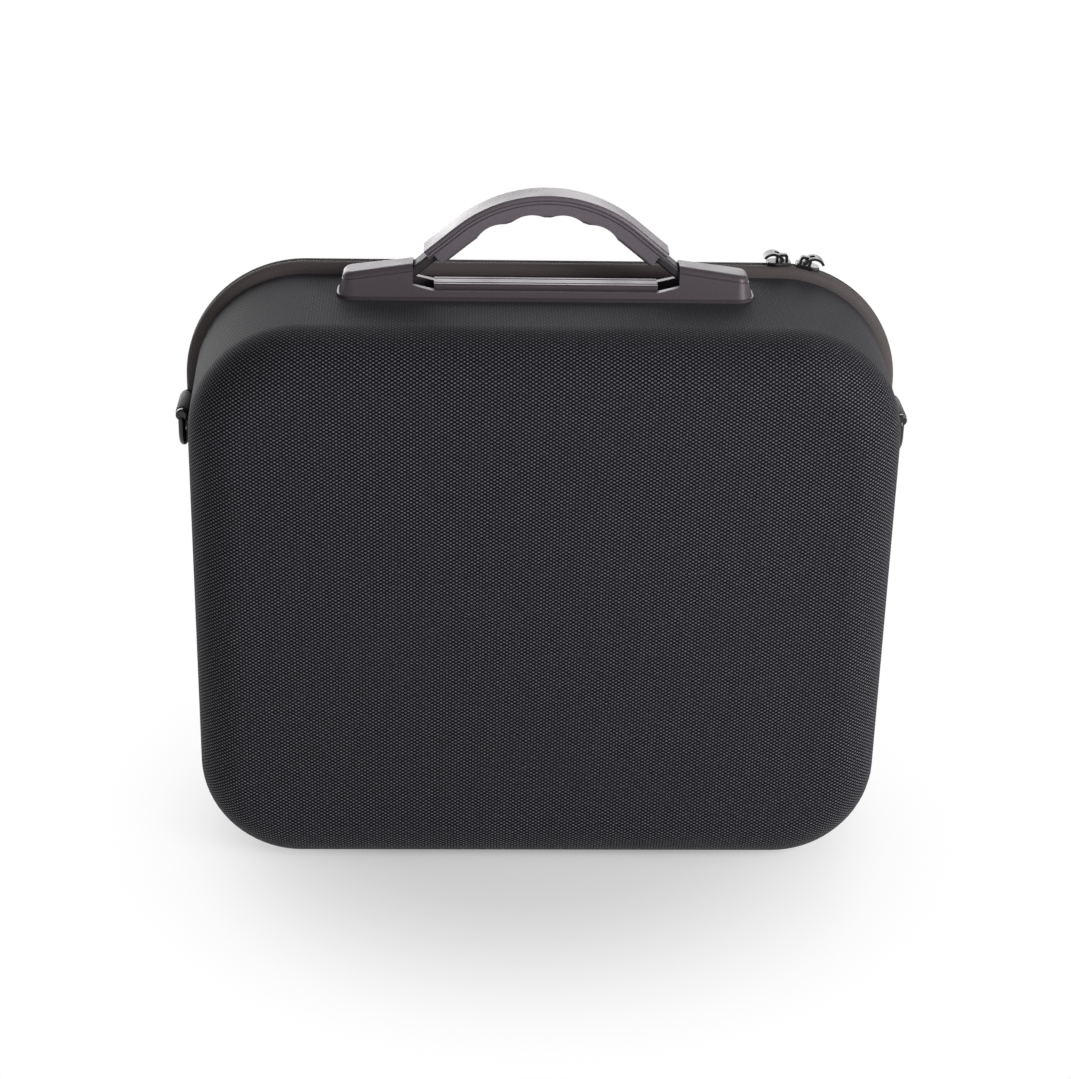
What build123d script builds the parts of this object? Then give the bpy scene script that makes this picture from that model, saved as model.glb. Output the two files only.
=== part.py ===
from build123d import *
import os
from math import asin, cos, radians, sin, sqrt, tan

# Portable game console case: two moulded shells, a zipper round three sides,
# a fabric hinge along the bottom, a moulded carrying handle and two strap rings.
# Millimetres. X runs to the right, Y from the front face to the lid, Z up.
# The origin is under the middle of the case, on the surface it stands on.

# Shells
case_width = 340.0
case_height = 281.0
front_depth = 89.0
lid_depth = 30.0
wall = 4.0
top_corner = 55.0
bottom_corner = 50.0
front_edge = 24.0
lid_edge = 21.0
front_draft = 3.0
lid_draft = 1.5

# Zipper
zip_gap = 11.0
tape_thick = 1.6
tape_foot = 3.0
teeth_width = 3.0
teeth_height = 2.4
teeth_corner = 0.8
teeth_gap = 0.8
zip_end_angle = 60.0

# Hinge strip
hinge_thick = 1.5
hinge_recess = 1.2

# Zipper sliders and pulls
slider_length = 11.5
slider_width = 9.0
slider_tail_width = 6.5
slider_shoulder = 2.0
slider_corner = 1.3
deck_thick = 1.5
deck_edge = 0.5
sole_length = 9.5
sole_thick = 1.2
sole_width = 5.6
neck_length = 3.0
slider_clearance = 0.3
arc_clearance = 0.3
neck_clearance = 0.15
bridge_length = 6.0
bridge_height = 3.6
bridge_width = 2.2
bridge_bar = 1.3
bridge_corner = 1.6
bridge_setback = 1.5
pull_reach = 8.6
pull_peak = 3.6
pull_rise = 2.7
pull_width = 6.6
pull_thick = 1.3
pull_pin = 1.8
pull_clearance = 0.25
slider_from_corner = 0.5
slider_spacing = 14.0

# Handle
handle_from_rim = 24.0
base_length = 198.0
base_width = 22.0
base_corner = 8.0
foot_height = 1.2
foot_ledge = 0.8
base_taper = 14.0
pod_length = 36.0
pod_inner_height = 16.0
pod_outer_height = 11.0
pod_edge = 3.2
sill_length = 10.0
sill_high = 6.5
sill_low = 4.0
rail_width = 12.0
rail_height = 6.2
rail_groove = 1.2
lip_groove = 0.7
lip_drop = 3.2
pod_roof = 1.2
mouth_clearance = 0.6
pocket_depth = 8.5
pocket_height = 8.6

# Strap and grip
arch_radius = 62.0
leg_angle = 39.5
strap_width = 11.0
strap_thick = 4.6
strap_corner = 1.25
anchor_inset = 7.5
anchor_height = 5.2
anchor_radius = 2.4
anchor_width = 14.0
grip_width = 16.0
grip_thick = 10.5
grip_corner = 1.6
grip_setback = 8.5
grip_bore_gap = 0.1
grip_lip = 3.0
grip_lip_thick = 4.2
grip_groove_drop = 2.0
grip_groove_step = 1.6
finger_pitch = 20.0
finger_radius = 14.0
finger_depth = 2.0
finger_count = 4

# Handle fixing
plate_thick = 2.0
plate_width = 16.0
screw_radius = 1.75
screw_bite = 6.5
screw_head_radius = 3.6
screw_head = 2.2
screw_gap = 0.05
screw_inset = 8.0
screw_pitch = 12.0

# Side rings
ring_from_rim = 16.0
ring_bar_z = 218.5
ring_drop = 18.0
ring_wire = 1.8
ring_inner_width = 23.0
ring_top_corner = 3.6
ring_low_corner = 8.0
collar_radius = 3.0
collar_length = 3.4
collar_edge = 1.0
webbing_width = 21.0
webbing_thick = 1.3
webbing_tail = 31.0
webbing_clearance = 0.3

# Inside
insert_gap = 0.3
insert_recess = 8.0
well_corner = 12.0
console_well = (250.0, 112.0)
console_well_depth = 45.0
small_well = (118.0, 92.0)
small_well_depth = 60.0
well_spacing = 14.0
pocket_size = (250.0, 150.0)
pocket_thick = 3.0
pocket_corner = 18.0

# Places worked out from the sizes above
case_depth = front_depth + zip_gap + lid_depth
front_y = -case_depth / 2
rim_y = front_y + front_depth
parting_y = rim_y + zip_gap / 2
lid_rim_y = rim_y + zip_gap
lid_y = case_depth / 2
half_width = case_width / 2
ridge_radius = zip_gap / 2
teeth_edge = teeth_gap / 2 + teeth_width
crest = sqrt(ridge_radius**2 - teeth_edge**2) + teeth_corner
top_slope = front_draft / front_depth
handle_y = rim_y - handle_from_rim
ring_y = rim_y - ring_from_rim
seat_z = case_height - top_slope * (rim_y - handle_y)
deck_z = crest + slider_clearance
pin_z = deck_z + deck_thick + pull_pin / 2 + pull_clearance
arc_radius = top_corner + crest
corner_x = half_width - top_corner
corner_z = case_height - top_corner
seat_fall = 2 * top_slope * base_width
pod_inner_x = base_length / 2 - pod_length
pod_slope = (pod_inner_height - pod_outer_height) / pod_length
rail_length = 2 * (pod_inner_x - sill_length)
anchor_x = pod_inner_x + anchor_inset
grip_end_x = pod_inner_x - grip_setback
leg_turn = radians(leg_angle)
arc_x = arch_radius * sin(leg_turn)
arc_z = anchor_height + (anchor_x - arc_x) * tan(leg_turn)
arch_centre_z = arc_z - arch_radius * cos(leg_turn)
plate_top = seat_z - wall


def at_depth(y):
    """Plane of the case's front view, at one depth."""
    return Plane.XZ.offset(-y)


def shell_outline(inset, draft, y):
    """Rounded outline of the case, flat below, with its other sides drafted."""
    width = case_width - 2 * (inset + draft)
    height = case_height - 2 * inset - draft
    shape = Rectangle(width, height, align=(Align.CENTER, Align.MIN))
    shape = fillet(shape.vertices().group_by(Axis.Y)[-1], top_corner - inset - draft)
    shape = fillet(shape.vertices().group_by(Axis.Y)[0], bottom_corner - inset - draft)
    return at_depth(y) * Pos(0, inset) * shape


def shell_block(rim, face, draft, edge, inset=0.0):
    """Solid between a shell's rim and its face, with the face's edge rounded."""
    block = loft([shell_outline(inset, 0, rim), shell_outline(inset, draft, face)], ruled=True)
    ends = block.faces().sort_by(Axis.Y)
    face_end = ends[0] if face < rim else ends[-1]
    return fillet(face_end.edges(), edge)


def front_outer():
    return shell_block(rim_y, front_y, front_draft, front_edge)


def front_inner(gap=0.0):
    inner_draft = front_draft * (front_depth - wall - gap) / front_depth
    return shell_block(rim_y, front_y + wall + gap, inner_draft, front_edge - wall - gap, wall + gap)


def lid_inner():
    inner_draft = lid_draft * (lid_depth - wall) / lid_depth
    return shell_block(lid_rim_y, lid_y - wall, inner_draft, lid_edge - wall, wall)


def rear_shell():
    outer = shell_block(lid_rim_y, lid_y, lid_draft, lid_edge)
    return outer - lid_inner()


def zip_path():
    """Rim line from one end of the zipper, over the top, to the other end."""
    low_x = half_width - bottom_corner
    path = CenterArc((-low_x, bottom_corner), bottom_corner, 180 + zip_end_angle, -zip_end_angle)
    path += Line((-half_width, bottom_corner), (-half_width, corner_z))
    path += CenterArc((-corner_x, corner_z), top_corner, 180, -90)
    path += Line((-corner_x, case_height), (corner_x, case_height))
    path += CenterArc((corner_x, corner_z), top_corner, 90, -90)
    path += Line((half_width, corner_z), (half_width, bottom_corner))
    path += CenterArc((low_x, bottom_corner), bottom_corner, 0, -zip_end_angle)
    return at_depth(parting_y) * path


def hinge_path():
    """Rim line along the bottom, between the two ends of the zipper."""
    low_x = half_width - bottom_corner
    turn = 90 - zip_end_angle
    path = CenterArc((low_x, bottom_corner), bottom_corner, -zip_end_angle, -turn)
    path += Line((low_x, 0), (-low_x, 0))
    path += CenterArc((-low_x, bottom_corner), bottom_corner, 270, -turn)
    return at_depth(parting_y) * path


def along(path, section):
    """Sweep a section along a rim path: its X is depth, its Y points outwards."""
    start = Plane(path @ 0, x_dir=(0, 1, 0), z_dir=path % 0)
    return sweep(start * section, path=path)


def zipper_tape(side):
    """Half of the rounded zipper ridge, from a rim up to its row of teeth."""
    arch = Circle(ridge_radius) - Circle(ridge_radius - tape_thick)
    reach = ridge_radius - teeth_edge
    window = Pos(side * (teeth_edge + reach / 2), ridge_radius / 2) * Rectangle(reach, ridge_radius)
    foot = Pos(side * (ridge_radius - tape_thick / 2), -tape_foot / 2) * Rectangle(tape_thick, tape_foot)
    return along(zip_path(), (arch & window) + foot)


def zipper_teeth(side):
    """One row of closed teeth, as a rounded bead on the edge of its tape."""
    bead = RectangleRounded(teeth_width, teeth_height, teeth_corner)
    place = Pos(side * (teeth_gap / 2 + teeth_width / 2), crest - teeth_height / 2)
    return along(zip_path(), place * bead)


def hinge_strip():
    """Fabric strip that joins the two rims along the bottom."""
    section = Rectangle(zip_gap, hinge_thick)
    return along(hinge_path(), Pos(0, -hinge_recess - hinge_thick / 2) * section)


def slider():
    """Slider in its own frame: X along the zipper, Z out of the case, origin on the rim line."""
    half = slider_length / 2
    tail = slider_tail_width / 2
    points = [(-half, tail), (slider_shoulder, slider_width / 2), (half, tail)]
    plan = make_face(Polyline(*points, *[(x, -y) for x, y in reversed(points)], close=True))
    plan = fillet(plan.vertices(), slider_corner)
    deck = Pos(0, 0, deck_z) * extrude(plan, deck_thick)
    deck = fillet(deck.faces().sort_by(Axis.Z)[-1].edges(), deck_edge)
    sole_top = crest - teeth_height - slider_clearance - arc_clearance
    sole = Pos(0, 0, sole_top - sole_thick / 2) * Box(sole_length, sole_width, sole_thick)
    neck_width = teeth_gap - 2 * neck_clearance
    neck_height = deck_z - sole_top
    neck = Pos(0, 0, sole_top + neck_height / 2) * Box(neck_length, neck_width, neck_height)
    return deck + sole + neck + slider_bridge()


def slider_bridge():
    """Arch on the slider's deck that the pull's pin turns under."""
    deck_top = deck_z + deck_thick
    outside = Rectangle(bridge_length, bridge_height, align=(Align.CENTER, Align.MIN))
    outside = fillet(outside.vertices().group_by(Axis.Y)[-1], bridge_corner)
    inside_size = (bridge_length - 2 * bridge_bar, bridge_height - bridge_bar)
    inside = Rectangle(*inside_size, align=(Align.CENTER, Align.MIN))
    inside = fillet(inside.vertices().group_by(Axis.Y)[-1], bridge_corner / 2)
    arch = extrude(Plane.XZ * (outside - inside), bridge_width / 2, both=True)
    return Pos(-bridge_setback, 0, deck_top) * arch


def pull():
    """Curved pull tab, in the slider's frame, lying along +X over the slider."""
    tip = (pull_reach, pull_thick / 2)
    bow = ThreePointArc((0, 0), (pull_peak, pull_rise), tip)
    tab = extrude(Plane.XZ * trace(bow, pull_thick), pull_width / 2, both=True)
    slot_end = bridge_length / 2 + 3 * pull_clearance
    slot_width = bridge_width + 2 * pull_clearance
    slot = Box(2 * slot_end, slot_width, 4 * pull_rise)
    pin = Rot(90, 0, 0) * Cylinder(pull_pin / 2, pull_width)
    return Pos(-bridge_setback, 0, pin_z) * (tab - slot + pin)


def left_slider_frame():
    """Frame on the straight top, just before the top right corner."""
    start = (corner_x - slider_from_corner, parting_y, case_height)
    return Plane(start, x_dir=(-1, 0, 0), z_dir=(0, 0, 1))


def right_slider_frame():
    """Frame on the top right corner arc, one slider spacing past the left slider."""
    tilt = asin((slider_spacing - slider_from_corner) / arc_radius)
    outward = Vector(sin(tilt), 0, cos(tilt))
    centre = Vector(corner_x, parting_y, corner_z)
    forward = (cos(tilt), 0, -sin(tilt))
    return Plane(centre + outward * top_corner, x_dir=forward, z_dir=outward)


def base_prism(inset=0.0):
    """Tapered body of the handle base on its stepped foot, moved in by inset."""
    foot_size = (base_length - 2 * inset, base_width - 2 * inset)
    foot_plan = RectangleRounded(*foot_size, base_corner - inset)
    foot = Pos(0, 0, -seat_fall) * extrude(foot_plan, seat_fall + foot_height)
    body_size = [side - 2 * foot_ledge for side in foot_size]
    body_plan = RectangleRounded(*body_size, base_corner - foot_ledge - inset)
    body = Pos(0, 0, foot_height) * extrude(body_plan, pod_inner_height, taper=base_taper)
    return foot + body


def base_front_view():
    """Front outline of the handle base: two sloping pods, two sills and a low middle."""
    right = [
        (rail_length / 2, sill_low),
        (pod_inner_x, sill_high),
        (pod_inner_x, pod_inner_height),
        (base_length / 2, pod_outer_height),
        (base_length / 2, -seat_fall),
    ]
    left = [(-x, z) for x, z in reversed(right)]
    return make_face(Polyline(*right, *left, close=True))


def pod_lip(side):
    """Thin groove round a pod, parallel to its sloping top."""
    low = pod_inner_height - lip_drop
    fall = pod_slope * pod_length
    high = low + lip_groove
    points = [(0, low), (0, high), (pod_length, high - fall), (pod_length, low - fall)]
    face = make_face(Polyline(*[(side * (pod_inner_x + x), z) for x, z in points], close=True))
    return extrude(Plane.XZ * face, base_width, both=True)


def pod_pocket(side):
    """Mouth for the strap and the wider pocket that holds the strap's anchor bar."""
    mouth_width = strap_width + 2 * mouth_clearance
    back_x = anchor_x + pocket_depth / 2
    roof = pod_inner_height - pod_roof
    points = [
        (rail_length / 2, -seat_fall),
        (rail_length / 2, roof),
        (pod_inner_x, roof),
        (back_x, roof - pod_slope * (back_x - pod_inner_x)),
        (back_x, -seat_fall),
    ]
    face = make_face(Polyline(*[(side * x, z) for x, z in points], close=True))
    mouth = extrude(Plane.XZ * face, mouth_width / 2, both=True)
    pocket_size = (pocket_depth, anchor_width + 2 * mouth_clearance, pocket_height + seat_fall)
    pocket = Box(*pocket_size, align=(Align.CENTER, Align.CENTER, Align.MIN))
    return mouth + Pos(side * anchor_x, 0, -seat_fall) * pocket


def rail():
    """Raised middle rail with two long grooves."""
    bar = Box(rail_length, rail_width, rail_height, align=(Align.CENTER, Align.CENTER, Align.MIN))
    bar = fillet(bar.edges().filter_by(Axis.X).group_by(Axis.Z)[-1], rail_groove)
    groove = Box(rail_length, rail_groove, rail_groove)
    for side in (-1, 1):
        bar -= Pos(0, side * rail_width / 4, rail_height) * groove
    return bar


def screw_places():
    """X of each handle screw, two in each pod."""
    outer = base_length / 2 - screw_inset
    return [side * (outer - step * screw_pitch) for side in (-1, 1) for step in (0, 1)]


def handle_place():
    return Pos(0, handle_y, seat_z)


def handle_base():
    """Moulded base with its pods, seated on the drafted top of the front shell."""
    body = extrude(Plane.XZ * base_front_view(), base_width, both=True) & base_prism()
    tops = [edge for edge in body.edges() if is_pod_top_edge(edge)]
    body = fillet(tops, pod_edge)
    core = base_prism(lip_groove)
    for side in (-1, 1):
        body -= pod_lip(side) - core
        body -= pod_pocket(side)
    body += rail()
    body = handle_place() * body - front_outer()
    for x in screw_places():
        body -= screw_hole(x)
    return body


def is_pod_top_edge(edge):
    """True for the edges round a pod's sloping top, but not the one over its mouth."""
    middle = edge @ 0.5
    along_pod = abs(middle.X) - pod_inner_x
    top_z = pod_inner_height - pod_slope * along_pod
    return along_pod > pod_edge and abs(middle.Z - top_z) < pod_edge / 10


def arch_path(end_x):
    """Centre line of the strap: a straight leg, an arc over the hand and a straight leg."""
    end_z = arc_z - (end_x - arc_x) * tan(leg_turn)
    path = Line((-end_x, end_z), (-arc_x, arc_z))
    path += CenterArc((0, arch_centre_z), arch_radius, 90 + leg_angle, -2 * leg_angle)
    path += Line((arc_x, arc_z), (end_x, end_z))
    return Plane.XZ * path


def along_arch(end_x, section):
    """Sweep a section along the arch: its X is depth, its Y points away from the hand."""
    path = arch_path(end_x)
    start = Plane(path @ 0, x_dir=(0, 1, 0), z_dir=path % 0)
    return sweep(start * section, path=path)


def leg_frame(side, x):
    """Frame on a straight leg at x: its X points to the leg's end, its Z out of the arch."""
    z = arc_z - (x - arc_x) * tan(leg_turn)
    forward = (side * cos(leg_turn), 0, -sin(leg_turn))
    outward = (side * sin(leg_turn), 0, cos(leg_turn))
    return Plane((side * x, 0, z), x_dir=forward, z_dir=outward)


def handle_strap():
    """Flexible strap with an anchor bar across each end."""
    strap = along_arch(anchor_x, RectangleRounded(strap_width, strap_thick, strap_corner))
    bar = Rot(90, 0, 0) * Cylinder(anchor_radius, anchor_width)
    for side in (-1, 1):
        strap += leg_frame(side, anchor_x) * bar
    return handle_place() * strap


def handle_grip():
    """Grip sleeve on the strap, with side grooves, overhanging ends and finger grooves."""
    section = RectangleRounded(grip_width, grip_thick, grip_corner)
    bore = RectangleRounded(strap_width + 2 * grip_bore_gap, strap_thick + 2 * grip_bore_gap, strap_corner)
    groove = Rectangle(2 * lip_groove, lip_groove)
    section -= bore
    for side in (-1, 1):
        for number in range(2):
            drop = grip_groove_drop + number * grip_groove_step
            section -= Pos(side * grip_width / 2, grip_thick / 2 - drop) * groove
    grip = along_arch(grip_end_x, section)
    step_size = (2 * grip_lip, 2 * grip_width, 2 * grip_thick)
    step = Box(*step_size, align=(Align.CENTER, Align.CENTER, Align.MAX))
    for side in (-1, 1):
        grip -= leg_frame(side, grip_end_x) * Pos(0, 0, grip_thick / 2 - grip_lip_thick) * step
    finger = Rot(90, 0, 0) * Cylinder(finger_radius, 2 * grip_width)
    for number in range(finger_count):
        offset = (number - (finger_count - 1) / 2) * finger_pitch
        grip -= finger_frame(offset) * Pos(0, 0, finger_depth - grip_thick / 2 - finger_radius) * finger
    return handle_place() * grip


def finger_frame(offset):
    """Frame on the strap's centre line, a distance along it from the crest."""
    side = 1 if offset > 0 else -1
    turn = abs(offset) / arch_radius
    if turn > leg_turn:
        leg = abs(offset) - arch_radius * leg_turn
        return leg_frame(side, arc_x + leg * cos(leg_turn))
    outward = Vector(side * sin(turn), 0, cos(turn))
    centre = Vector(0, 0, arch_centre_z)
    return Plane(centre + outward * arch_radius, x_dir=(side * cos(turn), 0, -sin(turn)), z_dir=outward)


def plate_zone(side_gap, below):
    """Space of the backing plate against the inside of the top wall."""
    rise = top_slope * plate_width
    size = (base_length + 2 * side_gap, plate_width + 2 * side_gap, plate_thick + below + rise)
    zone = Box(*size, align=(Align.CENTER, Align.CENTER, Align.MAX))
    return Pos(0, handle_y, plate_top + rise) * zone


def screw_hole(x):
    """Hole for one screw: through the plate and the top wall, and blind in the base."""
    length = 2 * (screw_bite + wall + plate_thick)
    hole = Cylinder(screw_radius + screw_gap, length, align=(Align.CENTER, Align.CENTER, Align.MAX))
    return Pos(x, handle_y, seat_z + screw_bite) * hole


def handle_backing_plate():
    """Steel plate under the top wall that spreads the handle's load."""
    plate = plate_zone(0, 0) & front_inner()
    for x in screw_places():
        plate -= screw_hole(x)
    return plate


def handle_screw(x):
    """Pan-head screw from under the plate, through the wall, into a pod."""
    plate_bottom = plate_top - plate_thick
    shank_length = seat_z + screw_bite - plate_bottom - 2 * screw_gap
    up = (Align.CENTER, Align.CENTER, Align.MIN)
    shank = Cylinder(screw_radius, shank_length, align=up)
    head = Pos(0, 0, -screw_head) * Cylinder(screw_head_radius, screw_head, align=up)
    head = fillet(head.edges().group_by(Axis.Z)[0], screw_head / 2)
    return Pos(x, handle_y, plate_bottom) * (shank + head)


def front_shell():
    """Deep moulded shell that stands in front and carries the handle."""
    shell = front_outer() - front_inner()
    for x in screw_places():
        shell -= screw_hole(x)
    return shell


def ring_bar_x():
    """X of a ring's bar: wall, two layers of webbing, clearance and half the wire."""
    wall_x = half_width - top_slope * (rim_y - ring_y - webbing_width / 2)
    return wall_x + 2 * webbing_thick + webbing_clearance + ring_wire


def strap_loop(side):
    """Webbing folded over a ring's bar and sewn flat on the shell's side."""
    eye = ring_wire + webbing_clearance
    fold = Pos(ring_bar_x(), ring_bar_z) * Circle(eye + webbing_thick)
    root_x = half_width - 2 * wall
    flat_x = ring_bar_x() - ring_wire - webbing_clearance
    flat = Rectangle(flat_x - root_x, webbing_tail, align=(Align.MIN, Align.MAX))
    flat = Pos(root_x, ring_bar_z) * flat
    profile = fold + flat - Pos(ring_bar_x(), ring_bar_z) * Circle(eye)
    loop = extrude(at_depth(ring_y) * profile, webbing_width / 2, both=True)
    loop = loop if side > 0 else mirror(loop, Plane.YZ)
    return loop - front_outer()


def strap_ring(side):
    """Ring of round wire that hangs by its straight bar in the webbing."""
    width = ring_inner_width + 2 * ring_wire
    outline = Rectangle(width, ring_drop - ring_wire, align=(Align.CENTER, Align.MAX))
    outline = fillet(outline.vertices().group_by(Axis.Y)[-1], ring_top_corner)
    outline = fillet(outline.vertices().group_by(Axis.Y)[0], ring_low_corner)
    path = (Plane.YZ * outline).wire()
    start = Plane(path @ 0, z_dir=path % 0)
    ring = sweep(start * Circle(ring_wire), path=path)
    collar = Rot(90, 0, 0) * Cylinder(collar_radius, collar_length)
    collar = fillet(collar.edges().filter_by(GeomType.CIRCLE), collar_edge)
    collar_y = (webbing_width + collar_length) / 2 + webbing_clearance
    for end in (-1, 1):
        ring += Pos(0, end * collar_y, 0) * collar
    return Pos(side * ring_bar_x(), ring_y, ring_bar_z) * ring


def well(size, depth, x, z):
    """Round-cornered pocket cut into the insert from its open face."""
    plan = RectangleRounded(*size, well_corner)
    face = at_depth(rim_y - insert_recess - depth) * Pos(x, z) * plan
    return extrude(face, -depth - insert_recess)


def foam_insert():
    """Padded insert with a console well above two accessory wells."""
    block = front_inner(insert_gap)
    cover_size = (2 * case_width, insert_recess, 2 * case_height)
    cover = Box(*cover_size, align=(Align.CENTER, Align.MAX, Align.CENTER))
    block -= Pos(0, rim_y, case_height / 2) * cover
    stack = console_well[1] + well_spacing + small_well[1]
    low_z = (case_height - stack) / 2 + small_well[1] / 2
    high_z = low_z + (small_well[1] + console_well[1]) / 2 + well_spacing
    block -= well(console_well, console_well_depth, 0, high_z)
    for side in (-1, 1):
        block -= well(small_well, small_well_depth, side * (small_well[0] + well_spacing) / 2, low_z)
    return block - plate_zone(insert_gap, screw_head + insert_gap) - plate_way()


def plate_way():
    """Slot from the plate's space to the insert's open face, so the insert goes in past it."""
    low = plate_top - plate_thick - screw_head - insert_gap
    size = (base_length + 2 * insert_gap, rim_y - handle_y, 2 * (case_height - low))
    return Pos(0, (rim_y + handle_y) / 2, case_height) * Box(*size)


def mesh_pocket():
    """Flat mesh pocket sewn on the inside of the lid."""
    face = at_depth(lid_y - wall) * Pos(0, case_height / 2) * RectangleRounded(*pocket_size, pocket_corner)
    return extrude(face, pocket_thick)


def build():
    """Every node of the case, by name."""
    left = left_slider_frame()
    right = right_slider_frame()
    return {
        "front_shell": front_shell(),
        "rear_shell": rear_shell(),
        "zipper_tape_front": zipper_tape(-1),
        "zipper_tape_rear": zipper_tape(1),
        "zipper_teeth_front": zipper_teeth(-1),
        "zipper_teeth_rear": zipper_teeth(1),
        "hinge_strip": hinge_strip(),
        "slider_left": left * slider(),
        "slider_right": right * slider(),
        "pull_left": left * pull(),
        "pull_right": right * pull(),
        "handle_base": handle_base(),
        "handle_strap": handle_strap(),
        "handle_grip": handle_grip(),
        "handle_backing_plate": handle_backing_plate(),
        "handle_screws": Compound([handle_screw(x).solid() for x in screw_places()]),
        "strap_loop_left": strap_loop(-1),
        "strap_loop_right": strap_loop(1),
        "strap_ring_left": strap_ring(-1),
        "strap_ring_right": strap_ring(1),
        "foam_insert": foam_insert(),
        "mesh_pocket": mesh_pocket(),
    }


os.makedirs("parts", exist_ok=True)
for name, shape in build().items():
    export_step(shape, f"parts/{name}.step")
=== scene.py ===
# %% [markdown]
# # A portable game console case
# The case is two moulded shells covered in woven nylon, closed by a zipper round
# three sides, with a moulded handle on top and a strap ring on each side.
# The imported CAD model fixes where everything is. This lesson keeps its hard pieces,
# with better finishes, and models the fabric pieces again in full.

# %% Load the frame
import math

import bmesh
import bpy
from mathutils import Matrix, Vector


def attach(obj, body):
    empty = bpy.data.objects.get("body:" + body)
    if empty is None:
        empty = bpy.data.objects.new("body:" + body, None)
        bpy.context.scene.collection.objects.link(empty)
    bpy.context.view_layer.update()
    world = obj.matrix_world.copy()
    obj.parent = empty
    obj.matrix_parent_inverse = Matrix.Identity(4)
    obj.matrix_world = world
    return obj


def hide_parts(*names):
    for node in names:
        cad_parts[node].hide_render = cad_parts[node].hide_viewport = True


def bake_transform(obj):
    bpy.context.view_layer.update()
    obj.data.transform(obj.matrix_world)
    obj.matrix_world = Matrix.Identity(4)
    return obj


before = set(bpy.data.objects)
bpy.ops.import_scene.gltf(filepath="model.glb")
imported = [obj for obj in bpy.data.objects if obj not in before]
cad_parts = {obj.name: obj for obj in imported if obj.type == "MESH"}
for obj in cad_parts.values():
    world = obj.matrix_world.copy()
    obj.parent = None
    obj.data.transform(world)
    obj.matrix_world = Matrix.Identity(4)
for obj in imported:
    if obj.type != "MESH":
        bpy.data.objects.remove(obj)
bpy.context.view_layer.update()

MM = 0.001
print("CAD nodes:", len(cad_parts))

# %% [markdown]
# ## Camera
# The photograph looks down on the case from the front. The camera could be aimed
# with a constraint, but a fitted view also has a small roll, so its three axes are
# worked out and put into its matrix. The focal length is in pixels of the picture.

# %% Camera
FOCAL_PIXELS = 2462.4
PICTURE_HEIGHT = 1079.0
SENSOR = 36.0
CAMERA_PLACE = Vector((-0.0432, -1.1124, 0.6679))
pitch = math.radians(24.91)
yaw = math.radians(2.11)
roll = math.radians(1.24)

ahead = Vector((math.sin(yaw) * math.cos(pitch), math.cos(yaw) * math.cos(pitch), -math.sin(pitch)))
level = Vector((math.cos(yaw), -math.sin(yaw), 0))
above = level.cross(ahead)
side_axis = level * math.cos(roll) + above * math.sin(roll)
up_axis = above * math.cos(roll) - level * math.sin(roll)
axes = Matrix((side_axis, up_axis, -ahead)).transposed()

lens = bpy.data.cameras.new("photo_camera")
lens.sensor_fit = "VERTICAL"
lens.sensor_width = lens.sensor_height = SENSOR
lens.lens = FOCAL_PIXELS * SENSOR / PICTURE_HEIGHT
camera = bpy.data.objects.new("photo_camera", lens)
bpy.context.collection.objects.link(camera)
camera.matrix_world = Matrix.Translation(CAMERA_PLACE) @ axes.to_4x4()
bpy.context.scene.camera = camera
print("lens", round(lens.lens, 2), "mm, camera at", [round(v, 3) for v in CAMERA_PLACE])

# %% [markdown]
# ## Shader groups
# A weave, a fine plastic grain and a soft patchiness each show on more than one
# finish. They could be built again in every material, but a node group is built
# once, with named sockets, and each material puts it in with its own values.

# %% Node tools
def new_group(name, vector, values, outputs):
    """An empty shader node group with a vector input and named float inputs and outputs."""
    group = bpy.data.node_groups.new(name, "ShaderNodeTree")
    group.interface.new_socket(vector, in_out="INPUT", socket_type="NodeSocketVector")
    for label, value in values.items():
        socket = group.interface.new_socket(label, in_out="INPUT", socket_type="NodeSocketFloat")
        socket.default_value = value
    for label in outputs:
        group.interface.new_socket(label, in_out="OUTPUT", socket_type="NodeSocketFloat")
    return group, group.nodes.new("NodeGroupInput"), group.nodes.new("NodeGroupOutput")


def plug(tree, value, socket):
    """Join a socket to another, or set its value."""
    if isinstance(value, bpy.types.NodeSocket):
        tree.links.new(value, socket)
    else:
        socket.default_value = value


def sums(tree, operation, *values):
    """One math node; its result."""
    node = tree.nodes.new("ShaderNodeMath")
    node.operation = operation
    for value, socket in zip(values, node.inputs):
        plug(tree, value, socket)
    return node.outputs[0]


def ramp(tree, value, low, high, to_low=0.0, to_high=1.0):
    """Map a range of values to another, with a soft step."""
    node = tree.nodes.new("ShaderNodeMapRange")
    node.interpolation_type = "SMOOTHSTEP"
    for entry, socket in zip((value, low, high, to_low, to_high), node.inputs):
        plug(tree, entry, socket)
    return node.outputs[0]


def noise(tree, vector, scale, detail, roughness=0.6):
    """A noise texture's value."""
    node = tree.nodes.new("ShaderNodeTexNoise")
    entries = {"Vector": vector, "Scale": scale, "Detail": detail, "Roughness": roughness}
    for label, entry in entries.items():
        plug(tree, entry, node.inputs[label])
    return node.outputs["Fac"]


print("node tools ready")

# %% [markdown]
# The cover is plain weave seen from above: where a warp yarn passes over, a raised
# oval dot shows, and the dots stand in a staggered grid. A Brick or Voronoi texture
# could be bent to that, but the product of two cosine waves gives just that grid.
# The weave reads a UV map laid out in metres, so a yarn has one size on every piece,
# and a little noise lets the yarns wander.

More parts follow.
